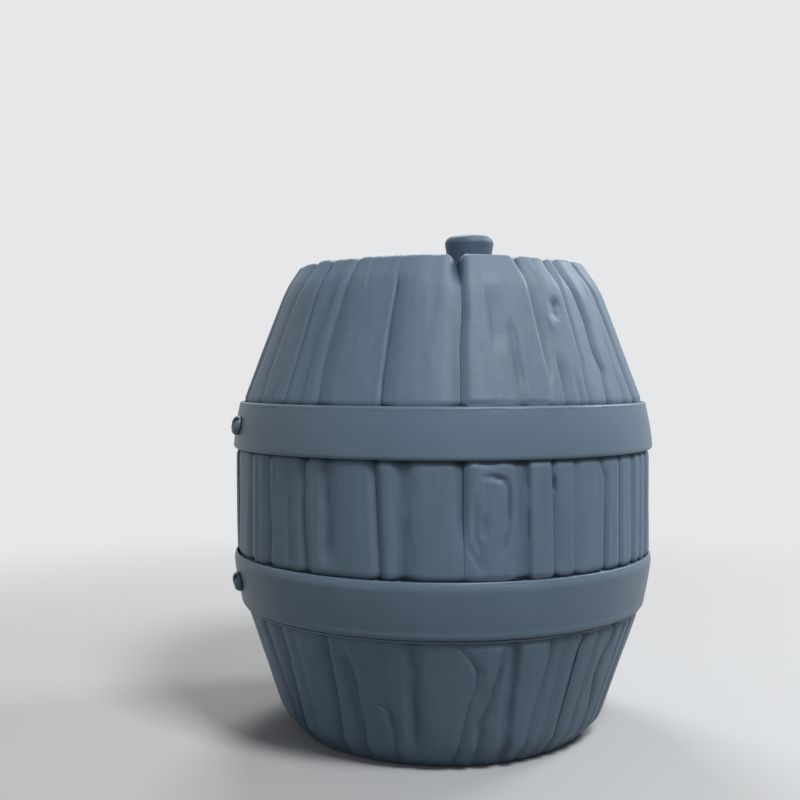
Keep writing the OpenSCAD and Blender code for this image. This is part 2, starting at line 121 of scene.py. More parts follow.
# Each joint that shows in front, from the top down, as rows of
# (height, angle, fall of the left edge, fall of the right edge, reach to the left, reach to the right)
joint_rows = {
    2: [(477, -56, 2.2, 2.2, 9, 9), (462, -56, 1.8, 1.6, 10, 12), (435, -58.4, 1.8, 1.6, 11, 13),
        (366, -59.5, 1.8, 1.8, 12, 13), (339, -58, 2.0, 2.0, 12, 12), (286, -59.1, 2.8, 2.4, 16, 12),
        (189, -59.3, 3.0, 2.4, 16, 12), (120, -57.9, 4.4, 2.6, 16, 12), (42, -57.1, 4.0, 3.0, 14, 12),
        (0, -57.1, 3, 3, 12, 12)],
    3: [(477, -45.7, 2.2, 2.2, 7, 7), (443, -45.4, 1.3, 1.0, 5, 6), (374, -45.6, 1.5, 1.1, 6, 7),
        (341, -46, 1.8, 1.4, 8, 8), (285, -49.5, 2.4, 2.0, 14, 9), (237, -49.2, 2.6, 2.0, 16, 8),
        (222, -48.6, 3.6, 2.0, 18, 8), (193, -49.2, 3.4, 2.2, 18, 8), (98, -49.3, 3.4, 2.4, 16, 12),
        (59, -51.5, 3.2, 2.6, 14, 14), (6, -55, 3, 3, 12, 12)],
    4: [(477, -32.2, 2.4, 2.4, 8, 10), (443, -33, 2.0, 2.6, 9, 20), (379, -34.4, 2.0, 2.8, 10, 28),
        (342, -33.4, 2.2, 2.6, 12, 26), (286, -35.8, 4.4, 3.4, 14, 10), (262, -35.8, 3.0, 2.6, 12, 9),
        (244, -36.1, 3.6, 3.0, 12, 10), (186, -35.1, 2.8, 3.2, 12, 12), (119, -31.5, 4.4, 3.0, 20, 10),
        (66, -32.1, 4.2, 2.8, 18, 9), (29, -33.5, 4.0, 2.8, 16, 9), (6, -34.8, 3.4, 2.8, 12, 9)],
    5: [(477, -14.4, 0.4, 0.4, 6, 8), (462, -14.3, 0.4, 1.0, 4, 12), (450, -14.2, 0.8, 2.5, 4, 16),
        (412, -15.1, 0.8, 2.9, 4, 18), (366, -15.4, 0.9, 3.1, 5, 20), (342, -15.2, 1.2, 3.0, 6, 20),
        (288, -15.9, 3.6, 3.2, 12, 9), (240, -15.2, 3.8, 3.0, 12, 8), (193, -14.7, 3.0, 2.8, 10, 10),
        (120, -15.4, 0.7, 0.6, 10, 10), (70, -15.8, 0.8, 0.7, 9, 9), (58, -14.8, 3.0, 2.4, 10, 9),
        (38, -13.8, 3.2, 2.6, 10, 10), (6, -14.6, 3.2, 2.8, 12, 12)],
    6: [(477, 5.6, 3.0, 3.0, 11, 11), (448, 6.2, 3.2, 3.4, 20, 9), (422, 6.3, 3.0, 3.0, 26, 9),
        (394, 5.2, 3.0, 2.8, 27, 10), (340, 4.8, 3.2, 2.8, 28, 11), (285, 5.2, 4.4, 3.8, 18, 12),
        (240, 5.2, 4.2, 3.6, 17, 11), (222, 5.3, 2.2, 2.2, 16, 11), (210, 5.4, 0.9, 1.2, 12, 10),
        (190, 5.4, 0.9, 1.2, 12, 10), (124, 5, 1.0, 1.2, 10, 12), (110, 8, 1.0, 2.0, 6, 12),
        (100, 9.5, 1.2, 2.4, 6, 13), (84, 9.3, 1.4, 2.4, 7, 13), (68, 8, 1.8, 2.4, 8, 12),
        (31, 6.2, 2.0, 2.4, 10, 12), (0, 4.4, 2, 2, 10, 10)],
    7: [(477, 27, 1.4, 3.0, 6, 12), (462, 28.6, 1.0, 4.6, 5, 20), (440, 28.4, 0.8, 5.2, 5, 24),
        (401, 29, 0.8, 5.0, 5, 23), (381, 29.1, 0.8, 4.4, 5, 18), (368, 29.6, 0.8, 2.6, 6, 12),
        (356, 28.8, 0.5, 1.2, 6, 9), (340, 28, 0.8, 1.6, 8, 9), (286, 26.9, 0.7, 3.4, 4, 12),
        (249, 27.4, 0.7, 3.2, 4, 13), (191, 27.7, 0.9, 3.0, 5, 13), (124, 29.2, 1.8, 2.4, 12, 10),
        (105, 29.5, 1.8, 2.4, 12, 10), (68, 28.7, 1.8, 2.2, 12, 10), (0, 27.4, 2, 2, 10, 10)],
    8: [(477, 41.5, 1.6, 2.0, 6, 7), (454, 42.4, 0.5, 1.8, 3, 9), (381, 42.5, 0.4, 1.7, 3, 9),
        (367, 41.6, 0.4, 1.7, 3, 9), (339, 41.2, 0.6, 1.8, 4, 9), (285, 42.9, 0.6, 2.4, 4, 10),
        (272, 44.5, 0.5, 2.6, 3, 10), (250, 44.4, 0.5, 3.4, 3, 11), (235, 44.3, 0.5, 5.4, 3, 11),
        (187, 44.2, 0.6, 5.4, 3, 11), (109, 40.2, 2.6, 1.4, 13, 5), (59, 40.3, 2.8, 1.6, 13, 5),
        (0, 40.4, 2.4, 2, 10, 8)],
    9: [(477, 46.5, 1.6, 2.6, 6, 9), (455, 47.4, 0.6, 4.2, 3, 14), (437, 48.7, 0.5, 4.8, 3, 16),
        (414, 49.6, 0.5, 5.0, 3, 17), (396, 49, 0.5, 5.2, 3, 16), (383, 49.2, 0.5, 5.6, 3, 15),
        (369, 50.5, 0.5, 4.8, 3, 12), (356, 49.4, 0.6, 3.6, 4, 12), (339, 48.6, 0.8, 3.2, 5, 12),
        (283, 51.4, 1.2, 1.6, 8, 8), (188, 51.6, 1.4, 1.8, 8, 8), (122, 54.2, 1.0, 3.6, 5, 10),
        (112, 54, 0.8, 5.4, 4, 14), (95, 51.2, 0.7, 6.6, 4, 18), (79, 50.4, 0.7, 6.6, 4, 18),
        (58, 53, 0.9, 5.0, 5, 14), (44, 54.6, 1.2, 3.4, 6, 10), (0, 54.6, 2, 2.4, 8, 8)],
    10: [(477, 59.5, 2, 2.4, 8, 8), (443, 64.4, 2.4, 3.0, 10, 10), (406, 65.6, 2.4, 3.2, 10, 10),
         (340, 66.1, 2.4, 3.0, 9, 9), (286, 69, 2.6, 2.6, 9, 9), (184, 69.6, 2.6, 2.8, 9, 9),
         (120, 67, 2.6, 2.4, 9, 9), (0, 66, 2.2, 2.2, 8, 8)],
}
# How far the corners of two stave ends are worn down at each joint
top_notch = {2: 2.6, 3: 3.4, 4: 3.0, 5: 0.5, 6: 11, 7: 4.4, 8: 3.2, 9: 3.2, 10: 3.8}

# The joints round the back, worn in the same manner
luck = np.random.RandomState(11)
for k in range(stave_count):
    falls, reaches = luck.uniform(1.0, 4.2, (3, 2)), luck.uniform(6, 19, (3, 2))
    drift = luck.uniform(-1.1, 1.1, 10)
    if k not in joint_rows:
        joint_rows[k] = [
            (z, joint_angles[k] + drift[n], *falls[zone], *reaches[zone])
            for n, (z, zone) in enumerate([(477, 2), (440, 2), (390, 2), (340, 2), (286, 1), (236, 1), (186, 1),
                                           (124, 0), (70, 0), (0, 0)])]
        top_notch[k] = 2.6 + 1.5 * math.sin(3.1 * k)
joint_heights = np.arange(0, cask_height + 1.0)
joint_lines = []
for k in range(stave_count):
    rows = np.array(joint_rows[k][::-1], float)
    spread = np.column_stack([np.interp(joint_heights, rows[:, 0], rows[:, n]) for n in range(1, 6)])
    joint_lines.append(soften(spread, 6))


def joint_at(k, z):
    """Angle, falls and reaches of a joint at given heights."""
    return [np.interp(z, joint_heights, column) for column in joint_lines[k % stave_count].T]


def ease(t):
    """0 to 1 with a soft start and a soft end."""
    return t * t * (3 - 2 * t)


class Grain:
    """Smooth random waves over a flat sheet, the same each run. It comes round again after 64 waves."""
    size = 64

    def __init__(self, seed):
        self.grid = np.random.RandomState(seed).uniform(-1, 1, (self.size, self.size))

    def at(self, u, v):
        i, j = np.floor(u).astype(int), np.floor(v).astype(int)
        fu, fv = ease(u - i), ease(v - j)
        g, i0, i1, j0, j1 = self.grid, i % self.size, (i + 1) % self.size, j % self.size, (j + 1) % self.size
        return (g[i0, j0] * (1 - fu) + g[i1, j0] * fu) * (1 - fv) + (g[i0, j1] * (1 - fu) + g[i1, j1] * fu) * fv


# Furrows and cracks apart from the joints, as (depth, reach to the left, reach to the right,
# [(angle, height), ...] from the top down). A depth below zero is a ridge.
furrows = [
    (2.2, 15, 6, [(-37.6, 490), (-37.9, 445), (-39.3, 405), (-39.9, 371), (-39.8, 320)]),
    (1.4, 4, 4.5, [(-25.2, 492), (-24.9, 466), (-24.2, 436)]),
    (1.5, 4, 4, [(-50.6, 357), (-52.0, 345), (-52.2, 334)]),
    (2.3, 5, 24, [(14.3, 452), (14.5, 419), (14.9, 380)]),
    (2.3, 9, 8, [(20.0, 424), (20.5, 381), (20.5, 354), (20.7, 318)]),
    (3.2, 9, 9, [(37.9, 431), (37.6, 423)]),
    (-1.0, 6, 6, [(33.9, 446), (33.4, 420), (34.7, 410), (37.6, 408)]),
    (2.8, 4, 13, [(33.0, 392), (33.8, 364), (32.9, 320)]),
    (1.4, 5, 7, [(38.6, 376), (38.2, 352), (38.4, 318)]),
    (2.2, 4.5, 9, [(59.1, 408), (58.4, 374), (57.9, 318)]),
    (1.6, 5, 6, [(56.0, 480), (57.4, 448), (58.2, 424)]),
    (0.8, 4, 5, [(-46.4, 305), (-46.5, 232)]),
    (1.9, 9, 7, [(-41.0, 272), (-41.1, 230), (-40.9, 176)]),
    (1.3, 5, 5, [(-41.3, 267), (-41.1, 259)]),
    (1.3, 5, 4, [(-36.4, 252), (-36.0, 244)]),
    (1.1, 7, 7, [(-54.4, 300), (-54.6, 180)]),
    (3.3, 10, 13, [(-28.9, 310), (-28.9, 240), (-29.2, 190)]),
    (3.2, 14, 17, [(-9.2, 310), (-9.0, 246), (-8.5, 165)]),
    (1.2, 10, 10, [(7.5, 288), (14.5, 288)]),
    (2.8, 5.5, 4.5, [(7.5, 277), (11.7, 277), (14.9, 274), (16.1, 266), (16.3, 251), (16.2, 229), (13.8, 200)]),
    (1.9, 5, 7, [(7.2, 266), (7.6, 240), (7.9, 223), (9.6, 200)]),
    (-0.9, 5, 5, [(12.6, 260), (12.2, 240), (11.3, 225), (9.8, 203)]),
    (1.7, 6, 5, [(10.1, 246), (9.8, 220)]),
    (1.3, 4, 10, [(4.6, 226), (6.6, 212), (10.4, 188)]),
    (3.3, 24, 3.5, [(20.7, 310), (21.0, 240), (21.4, 165)]),
    (3.8, 3.5, 4.5, [(27.9, 280), (28.0, 257)]),
    (1.6, 5, 10, [(29.2, 256), (29.3, 180)]),
    (1.9, 4, 9, [(34.2, 310), (34.4, 165)]),
    (2.6, 8, 7, [(58.4, 310), (58.8, 165)]),
    (1.6, 5, 6, [(63.6, 310), (63.9, 165)]),
    (1.8, 8, 8, [(-43.0, 145), (-43.8, 70), (-44.5, 10)]),
    (3.4, 17, 4, [(-26.8, 124), (-25.4, 103), (-24.6, 80), (-24.7, 31), (-25.4, -25)]),
    (1.5, 3.5, 3.5, [(-17.8, 65), (-14.8, 59)]),
    (3.2, 12, 12, [(-6.9, 155), (-7.7, 75), (-7.6, 10)]),
    (2.8, 6, 10, [(16.6, 136), (15.5, 99), (13.6, 72), (13.0, 59), (11.5, 44), (11.5, -20)]),
    (3.6, 15, 5, [(19.7, 145), (20.2, 78), (20.5, 51), (22.3, -25)]),
    (1.3, 9, 9, [(34.5, 145), (34.0, 60), (33.4, -20)]),
    (1.7, 6, 6, [(61.0, 145), (60.4, 60), (60.0, -10)]),
    (1.7, 6, 6, [(47.0, 145), (46.2, 60), (46.8, -10)]),
]
# The furrows round the back, one for about every six degrees of a stave, and here and there a knot
for k in range(10, stave_count + 1):
    left, width = joint_angles[k % stave_count] + 360 * (k // stave_count), stave_widths[k % stave_count]
    share_count = int(width // 6.5)
    for n in range(share_count):
        a = left + width * (n + 0.5 + luck.uniform(-0.2, 0.2)) / share_count
        top, foot = [(145, -25), (400, 140), (492, 345), (492, -10), (310, 165)][luck.randint(5)]
        heights = np.linspace(top - luck.uniform(0, 25), foot + luck.uniform(0, 25), 5)
        line = list(zip(a + np.cumsum(luck.uniform(-0.5, 0.5, 5)), heights))
        furrows.append((luck.uniform(1.2, 3.0), luck.uniform(5, 16), luck.uniform(5, 12), line))
    if luck.uniform() < 0.4:
        a, z = left + width * luck.uniform(0.35, 0.65), luck.uniform(60, 430)
        furrows.append((luck.uniform(2.4, 3.2), 8, 8, [(a, z + 5), (a + 0.3, z - 5)]))


def furrow_depth(angle, z, radius):
    """How much all the furrows take off at each point, and how much the ridges leave standing."""
    taken, left_on = np.zeros(len(z)), np.zeros(len(z))
    least_mm_a_degree, widest_reach = 2.6, 25
    # A furrow fades out over a share of its length at both ends, and a short pit doesn't
    longest_fade, fade_share, pit = 24, 0.35, 14
    for depth, left, right, line in furrows:
        line = np.array(line, float)
        a_mid = line[:, 0].mean()
        off_line = (angle - a_mid + 180) % 360 - 180
        reach = max(left, right) / least_mm_a_degree
        near = (np.abs(off_line) < np.ptp(line[:, 0]) / 2 + reach) \
            & (z > line[:, 1].min() - widest_reach) & (z < line[:, 1].max() + widest_reach)
        if not near.any():
            continue
        a, h, r = off_line[near] + a_mid, z[near], radius[near]
        best, side, along = np.full(len(a), 1e9), np.ones(len(a)), np.zeros(len(a))
        passed = 0.0
        for (a0, z0), (a1, z1) in zip(line[:-1], line[1:]):
            ex, ez = np.radians(a1 - a0) * r, z1 - z0
            px, pz = np.radians(a - a0) * r, h - z0
            length = np.sqrt(ex * ex + ez * ez) + 1e-9
            t = np.clip((px * ex + pz * ez) / length ** 2, 0, 1)
            gap = np.hypot(px - t * ex, pz - t * ez)
            nearer = gap < best
            best = np.where(nearer, gap, best)
            side = np.where(nearer, px * ez - pz * ex, side)
            along = np.where(nearer, passed + t * length, along)
            passed += float(length.mean())
        fade = 1
        if passed > pit:
            fade_run = min(longest_fade, passed * fade_share)
            fade = ease(np.clip(np.minimum(along, passed - along) / fade_run, 0, 1))
        q = np.clip(best / np.where(side < 0, right, left), 0, 1)
        patchy = 1 + 0.22 * fine_grain.at(h / 19 + 5 * depth, a * 0.9)
        shape = np.abs(depth) * (0.75 * (1 - q * q) ** 2 + 0.25 * (1 - q) ** 3) * fade * patchy
        if depth > 0:
            taken[near] = (taken[near] ** 3 + shape ** 3) ** (1 / 3)
        else:
            left_on[near] = np.maximum(left_on[near], shape)
    return taken, left_on


def worn_edge(arc, fall, reach, near_end, notch):
    """How far a stave falls away to its edge: a wide soft shoulder, then a narrow crease at the joint. At
    the ends the corner of the plank is worn round."""
    crease_reach, corner_reach = 3.4, 9
    shoulder = 0.5 + 0.5 * np.cos(math.pi * np.clip(arc / reach, 0, 1))
    crease = 1 - np.clip(arc / np.minimum(crease_reach, reach), 0, 1)
    corner = (1 - np.sin(math.pi / 2 * np.clip(arc / np.maximum(reach, corner_reach), 0, 1))) ** 1.25
    return fall * (0.8 * shoulder ** 1.7 + 0.2 * crease ** 1.4) * (1 - near_end) + notch * corner * near_end


# Where the wear of the ends begins, and how far the stave edges fall at the very foot
top_wear_z, top_wear_run, base_wear_run, base_fall = 444, 27, 22, 1.1
# Where the staves are tucked in above and below the hoops, as (depth, height, run)
tucks = ((3.2, 129, 8), (2.6, 184, 8), (2.8, 292, 9), (2.0, 337, 7))
# What the hoops cover, where nothing may stand out, and the lowest place of a notch, just above the croze
under_hoops, lowest_notch = ((124, 190), (286, 343)), 466.4


def carve(stave, k):
    """Works one plank: lays its edges along its joints, and takes off what time and tools have."""
    mesh = stave.data
    count = len(mesh.vertices)
    co = np.zeros(count * 3)
    mesh.vertices.foreach_get("co", co)
    co = co.reshape(-1, 3) / MM
    row = np.zeros(count)
    mesh.attributes["row"].data.foreach_get("value", row)
    row = np.round(row).astype(int)
    turn = np.degrees(np.arctan2(co[:, 0], -co[:, 1]))
    u = ((turn - joint_angles[k] + 180) % 360 - 180) / stave_widths[k]
    u = np.clip(u - 0.45 * np.sin(2 * math.pi * u) / (2 * math.pi), 0, 1)

    r0, z0, worked = section[row].T
    left, _, fall_left, _, reach_left = [column[row] for column in joint_at(k, section[:, 1])]
    right, fall_right, _, reach_right, _ = [column[row] for column in joint_at(k + 1, section[:, 1])]
    right = np.where(right < left, right + 360, right)
    angle = left + (right - left) * u

    near_top = ease(np.clip((z0 - top_wear_z) / top_wear_run, 0, 1))
    near_base = np.clip((base_wear_run - z0) / base_wear_run, 0, 1) ** 1.6
    off = np.zeros(count)
    for joint, arc, fall, reach in ((k, angle - left, fall_left, reach_left),
                                    (k + 1, right - angle, fall_right, reach_right)):
        notch = top_notch[joint % stave_count]
        fall = fall + near_base * (base_fall - fall)
        off = (off ** 3 + worn_edge(np.radians(arc) * r0, fall, reach, near_top, notch) ** 3) ** (1 / 3)
    taken, left_on = furrow_depth(angle, z0, r0)
    off = (off ** 3 + (taken * (1 - 0.6 * near_top) * (1 - 0.8 * near_base)) ** 3) ** (1 / 3)

    long_way = np.radians(angle) * belly_r
    waves = 0.62 * broad_grain.at(long_way / 26 + 7 * k, z0 / 140) \
        + 0.30 * fine_grain.at(long_way / 10 + 3 * k, z0 / 70 + 0.6 * broad_grain.at(long_way / 23, z0 / 60)) \
        + 0.09 * dents.at(long_way / 8, z0 / 12)
    lift = (1.2 * stave_proud[k] + waves) * (1 - 0.6 * near_base) + left_on - off
    tucked = sum(depth * np.clip(1 - np.abs(z0 - edge) / run, 0, 1) ** 2 for depth, edge, run in tucks)
    lift = lift - (1 + 0.3 * np.clip(off, 0, 3)) * tucked
    hooped = np.clip(np.max([np.minimum(z0 - low, high - z0) / 4 for low, high in under_hoops], axis=0), 0, 1)
    lift = lift * (1 - hooped) + np.minimum(lift, -0.05) * hooped
    lift *= worked

    r = r0 + lift * section_normal[row, 0]
    z = np.clip(z0 + lift * section_normal[row, 1], 0, cask_height)
    standing = (z0 < 0.3) & (off < 0.8)
    z[standing] = 0
    inner_corner = (worked == 0) & (z0 > top_croze[1] + 1)
    z[inner_corner] = np.maximum(z0 - off, lowest_notch)[inner_corner]
    a = np.radians(angle)
    out = np.stack([r * np.sin(a), -r * np.cos(a), z], 1) * MM
    mesh.vertices.foreach_set("co", out.ravel())
    # How deep each point lies in a hollow; the wood material paints shade there by darkening it
    hollow = mesh.attributes.new("hollow", "FLOAT", "POINT")
    hollow.data.foreach_set("value", (np.clip((off - 1) / 4, 0, 1) * worked).astype(np.float32))
    mesh.attributes.remove(mesh.attributes["row"])
    mesh.update()


def deselect_all():
    for o in bpy.context.selected_objects:
        o.select_set(False)


def turned_piece(name, line, angle, steps, closed, start=0.0):
    """A piece turned from its section, as on a lathe: the section is laid out flat, then spun round +Z.
    It is a solid wedge with a face at each end, a ring, or an open line whose ends are on the axis."""
    deselect_all()
    fill = "NGON" if closed == "solid" else "NOTHING"
    bpy.ops.mesh.primitive_circle_add(vertices=len(line), radius=1, fill_type=fill)
    piece = bpy.context.active_object
    piece.name = piece.data.name = name
    face_on = math.radians(start)
    for v, p in zip(piece.data.vertices, line):
        v.co = (p[0] * MM * math.sin(face_on), -p[0] * MM * math.cos(face_on), p[1] * MM)
    rows = piece.data.attributes.new("row", "FLOAT", "POINT")
    rows.data.foreach_set("value", np.arange(len(line), dtype=np.float32))
    bpy.ops.object.mode_set(mode="EDIT")
    if closed == "open":
        bpy.ops.mesh.select_all(action="DESELECT")
        bpy.ops.object.mode_set(mode="OBJECT")
        piece.data.vertices[0].select = piece.data.vertices[len(line) - 1].select = True
        for e in piece.data.edges:
            e.select = set(e.vertices) == {0, len(line) - 1}
        bpy.ops.object.mode_set(mode="EDIT")
        bpy.ops.mesh.delete(type="EDGE")
    bpy.ops.mesh.select_all(action="SELECT")
    bpy.ops.mesh.spin(steps=steps, angle=-math.radians(angle), center=(0, 0, 0), axis=(0, 0, 1))
    bpy.ops.mesh.select_all(action="SELECT")
    bpy.ops.mesh.remove_doubles(threshold=0.00002)
    bpy.ops.mesh.normals_make_consistent(inside=False)
    bpy.ops.object.mode_set(mode="OBJECT")
    return piece


def smooth_piece(piece, angle):
    deselect_all()
    piece.select_set(True)
    bpy.context.view_layer.objects.active = piece
    bpy.ops.object.shade_smooth_by_angle(angle=math.radians(angle), keep_sharp_edges=False)


section = stave_section()
step_round = np.roll(section[:, :2], -1, 0) - np.roll(section[:, :2], 1, 0)
step_round /= np.linalg.norm(step_round, axis=1)[:, None]
section_normal = np.stack([step_round[:, 1], -step_round[:, 0]], 1)
broad_grain, fine_grain, dents = Grain(1), Grain(2), Grain(3)


def wood(name, dark, light, grain_axis, roughness, hollow_shade):
    """Stained wood: faint streaks and fine pores along the grain, chatter marks across it, and painted shade
    that darkens its hollows.
    """
    material = bpy.data.materials.new(name)
    material.use_nodes = True
    nodes, links = material.node_tree.nodes, material.node_tree.links
    shader = nodes["Principled BSDF"]
    shader.inputs["Specular IOR Level"].default_value = 0.4
    place = nodes.new("ShaderNodeTexCoord")

    def noise(along, across, detail, rough):
        mapping = nodes.new("ShaderNodeMapping")
        scale = [across] * 3
        scale[grain_axis] = along
        mapping.inputs["Scale"].default_value = scale
        links.new(place.outputs["Object"], mapping.inputs["Vector"])
        n = nodes.new("ShaderNodeTexNoise")
        n.inputs["Scale"].default_value = 1
        n.inputs["Detail"].default_value = detail
        n.inputs["Roughness"].default_value = rough
        links.new(mapping.outputs["Vector"], n.inputs["Vector"])
        return n.outputs["Fac"]

    def bump(height, strength, distance, before):
        b = nodes.new("ShaderNodeBump")
        b.inputs["Strength"].default_value, b.inputs["Distance"].default_value = strength, distance
        links.new(height, b.inputs["Height"])
        if before:
            links.new(before, b.inputs["Normal"])
        return b.outputs["Normal"]

    streaks = noise(10, 150, 6, 0.62)
    patches = noise(6, 16, 3, 0.5)
    pores = noise(60, 900, 4, 0.6)
    chatter = noise(230, 40, 1, 0.4)
    chattered = noise(11, 22, 1, 0.5)
    ramp = nodes.new("ShaderNodeValToRGB")
    ramp.color_ramp.elements[0].position, ramp.color_ramp.elements[1].position = 0.25, 0.78
    ramp.color_ramp.elements[0].color, ramp.color_ramp.elements[1].color = (*dark, 1), (*light, 1)
    links.new(streaks, ramp.inputs["Fac"])
    patch = nodes.new("ShaderNodeMix")
    patch.data_type, patch.blend_type = "RGBA", "SOFT_LIGHT"
    patch.inputs["Factor"].default_value = 0.12
    links.new(ramp.outputs["Color"], patch.inputs["A"])
    links.new(patches, patch.inputs["B"])
    colour = patch.outputs["Result"]
    # Painted shade: the colour is multiplied by a grey where the hollow attribute is high, to darken the
    # hollows as shade would
    if hollow_shade:
        hollow_amount = nodes.new("ShaderNodeAttribute")
        hollow_amount.attribute_name = "hollow"
        painted_shade = nodes.new("ShaderNodeMix")
        painted_shade.data_type, painted_shade.blend_type = "RGBA", "MULTIPLY"
        painted_shade.inputs["B"].default_value = (*hollow_shade, 1)
        links.new(hollow_amount.outputs["Fac"], painted_shade.inputs["Factor"])
        links.new(colour, painted_shade.inputs["A"])
        colour = painted_shade.outputs["Result"]
    links.new(colour, shader.inputs["Base Color"])
    matt = nodes.new("ShaderNodeMapRange")
    matt.inputs["To Min"].default_value, matt.inputs["To Max"].default_value = roughness
    links.new(patches, matt.inputs["Value"])
    links.new(matt.outputs["Result"], shader.inputs["Roughness"])
    ripple = nodes.new("ShaderNodeMath")
    ripple.operation = "MULTIPLY"
    where = nodes.new("ShaderNodeMapRange")
    where.inputs["From Min"].default_value, where.inputs["From Max"].default_value = 0.45, 0.62
    links.new(chattered, where.inputs["Value"])
    links.new(chatter, ripple.inputs[0])
    links.new(where.outputs["Result"], ripple.inputs[1])
    normal = bump(streaks, 0.3, 0.0005, None)
    normal = bump(ripple.outputs["Value"], 0.35, 0.0006, normal)
    normal = bump(pores, 0.3, 0.0002, normal)
    links.new(normal, shader.inputs["Normal"])
    return material


def slate(r, g, b):
    """A paint-chip colour as the shader wants it."""
    chip = (r / 255, g / 255, b / 255)
    return tuple(c / 12.92 if c <= 0.04045 else ((c + 0.055) / 1.055) ** 2.4 for c in chip)


# The last colour is the grey of the painted shade in the staves' hollows
stave_wood = wood("stave_wood", slate(90, 110, 128), slate(98, 119, 137), 2, (0.46, 0.6),
                  slate(176, 186, 194))
for k, width in enumerate(stave_widths):
    columns = int(round(math.radians(width) * belly_r / stave_spacing))
    stave = turned_piece(f"stave_{k + 1:02d}_carved", section, width, columns, "solid", joint_angles[k])
    carve(stave, k)
    smooth_piece(stave, 50)
    stave.data.materials.append(stave_wood)
    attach(stave, "cask")
    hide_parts(f"stave_{k + 1:02d}")

# Heads.
# Five boards side by side close each end, planed flat, chamfered along their joints and thinned round
# the rim to the tongue that sits in the croze. Hidden dowels keep the boards in line.
head_wood = wood("head_wood", slate(82, 101, 118), slate(94, 114, 132), 0, (0.48, 0.62), None)
dowel_wood = wood("dowel_wood", slate(80, 96, 110), slate(96, 112, 126), 1, (0.55, 0.7), None)
for end in ("top", "base"):
    for k in range(1, 6):
        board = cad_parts[f"{end}_board_{k}"]
        board.data.materials.clear()
        board.data.materials.append(head_wood)
    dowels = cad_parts[f"{end}_dowels"]
    dowels.data.materials.clear()
    dowels.data.materials.append(dowel_wood)


# Hoops.
# Two broad bands of flat iron, forged with a slight crown and well rounded edges, and driven on from the
# ends. The lower one keeps a thin lip below it. Their thinned ends lap behind the screw on the left.
def iron(name, dark, light, roughness, relief_height):
    """Painted iron: soft clouds in the paint, and the faint unevenness of hammered bar."""
    material = bpy.data.materials.new(name)
    material.use_nodes = True
    nodes, links = material.node_tree.nodes, material.node_tree.links
    shader = nodes["Principled BSDF"]
    shader.inputs["Specular IOR Level"].default_value = 0.5
    place = nodes.new("ShaderNodeTexCoord")
    found = {}
    for key, scale, detail in (("clouds", 18, 4), ("speckle", 420, 3)):
        n = nodes.new("ShaderNodeTexNoise")
        n.inputs["Scale"].default_value, n.inputs["Detail"].default_value = scale, detail
        links.new(place.outputs["Object"], n.inputs["Vector"])
        found[key] = n
    ramp = nodes.new("ShaderNodeValToRGB")
    ramp.color_ramp.elements[0].position, ramp.color_ramp.elements[1].position = 0.3, 0.72
    ramp.color_ramp.elements[0].color, ramp.color_ramp.elements[1].color = (*dark, 1), (*light, 1)
    links.new(found["clouds"].outputs["Fac"], ramp.inputs["Fac"])
    links.new(ramp.outputs["Color"], shader.inputs["Base Color"])
    matt = nodes.new("ShaderNodeMapRange")
    matt.inputs["To Min"].default_value, matt.inputs["To Max"].default_value = roughness
    links.new(found["clouds"].outputs["Fac"], matt.inputs["Value"])
    links.new(matt.outputs["Result"], shader.inputs["Roughness"])
    relief = nodes.new("ShaderNodeBump")
    relief.inputs["Strength"].default_value, relief.inputs["Distance"].default_value = relief_height, 0.0003
    links.new(found["speckle"].outputs["Fac"], relief.inputs["Height"])
    links.new(relief.outputs["Normal"], shader.inputs["Normal"])
    return material


hoop_iron = iron("hoop_iron", slate(87, 107, 125), slate(93, 113, 131), (0.4, 0.5), 0.22)
hoop_thick, hoop_crown, hoop_gap = 3.8, 0.9, 0.3
# The line that each hoop's inner face lies along, as (radius, height), the rounds of its lower and upper
# outer edge, as (across, up), and its lip, as (width, thickness)
hoop_seats = {"lower_hoop_forged": [(204.26, 129), (214, 185)],
              "upper_hoop_forged": [(214, 291), (206.61, 338)]}
hoop_rounds = {"lower_hoop_forged": ((3.2, 7), (2.7, 8)), "upper_hoop_forged": ((2.2, 3.2), (2.4, 3.4))}
hoop_lips = {"lower_hoop_forged": (3.4, 2.1), "upper_hoop_forged": (0, 0)}
screw_angle, scarf_half = -70, 16
# The slit where the outer end of the lap stops, as (up, round, in)
slit_size = (90, 0.6, 4)


def hoop_line(name):
    """Section of a band: its inner face lies along the seat, its outer face swells to the middle."""
    (r0, z0), (r1, z1) = hoop_seats[name]
    lip_wide, lip_thick = hoop_lips[name]
    foot_round, head_round = hoop_rounds[name]
    low, high = z0 + lip_wide, z1

    def inner(z):
        return r0 + (r1 - r0) * (z - z0) / (z1 - z0) + hoop_gap

    def outer(z):
        t = (2 * z - low - high) / (high - low)
        return inner(z) + hoop_thick + hoop_crown * (1 - t * t)

    line = [(inner(z), z) for z in np.linspace(z1, z0, 12)]
    foot, head = low + foot_round[1], high - head_round[1]
    if lip_wide:
        bead_in, bead_half, groove_r, groove_z = 0.35, 1.3, inner(z0) + 0.75, z0 + 3
        bead = (lip_thick - bead_in, bead_half)
        line += round_corner((inner(z0) + bead_in, z0 + bead_half), bead, -90, 70, 8)
        line.append((groove_r, groove_z))
        foot = groove_z + foot_round[1]
    line += round_corner((outer(foot) - foot_round[0], foot), foot_round, -90, 0, 10)
    line += [(outer(z), z) for z in np.linspace(foot, head, 26)[1:-1]]
    line += round_corner((outer(head) - head_round[0], head), head_round, 0, 90, 10)
    return line


# Where the lip is broken away, as the angles at which it starts to thin, is gone, and is whole again
lip_breaks = ((28.5, 36, 38.9), (45.5, 53, 56), (91, 96, 98.5), (150, 158, 161.5), (-125, -118, -115))


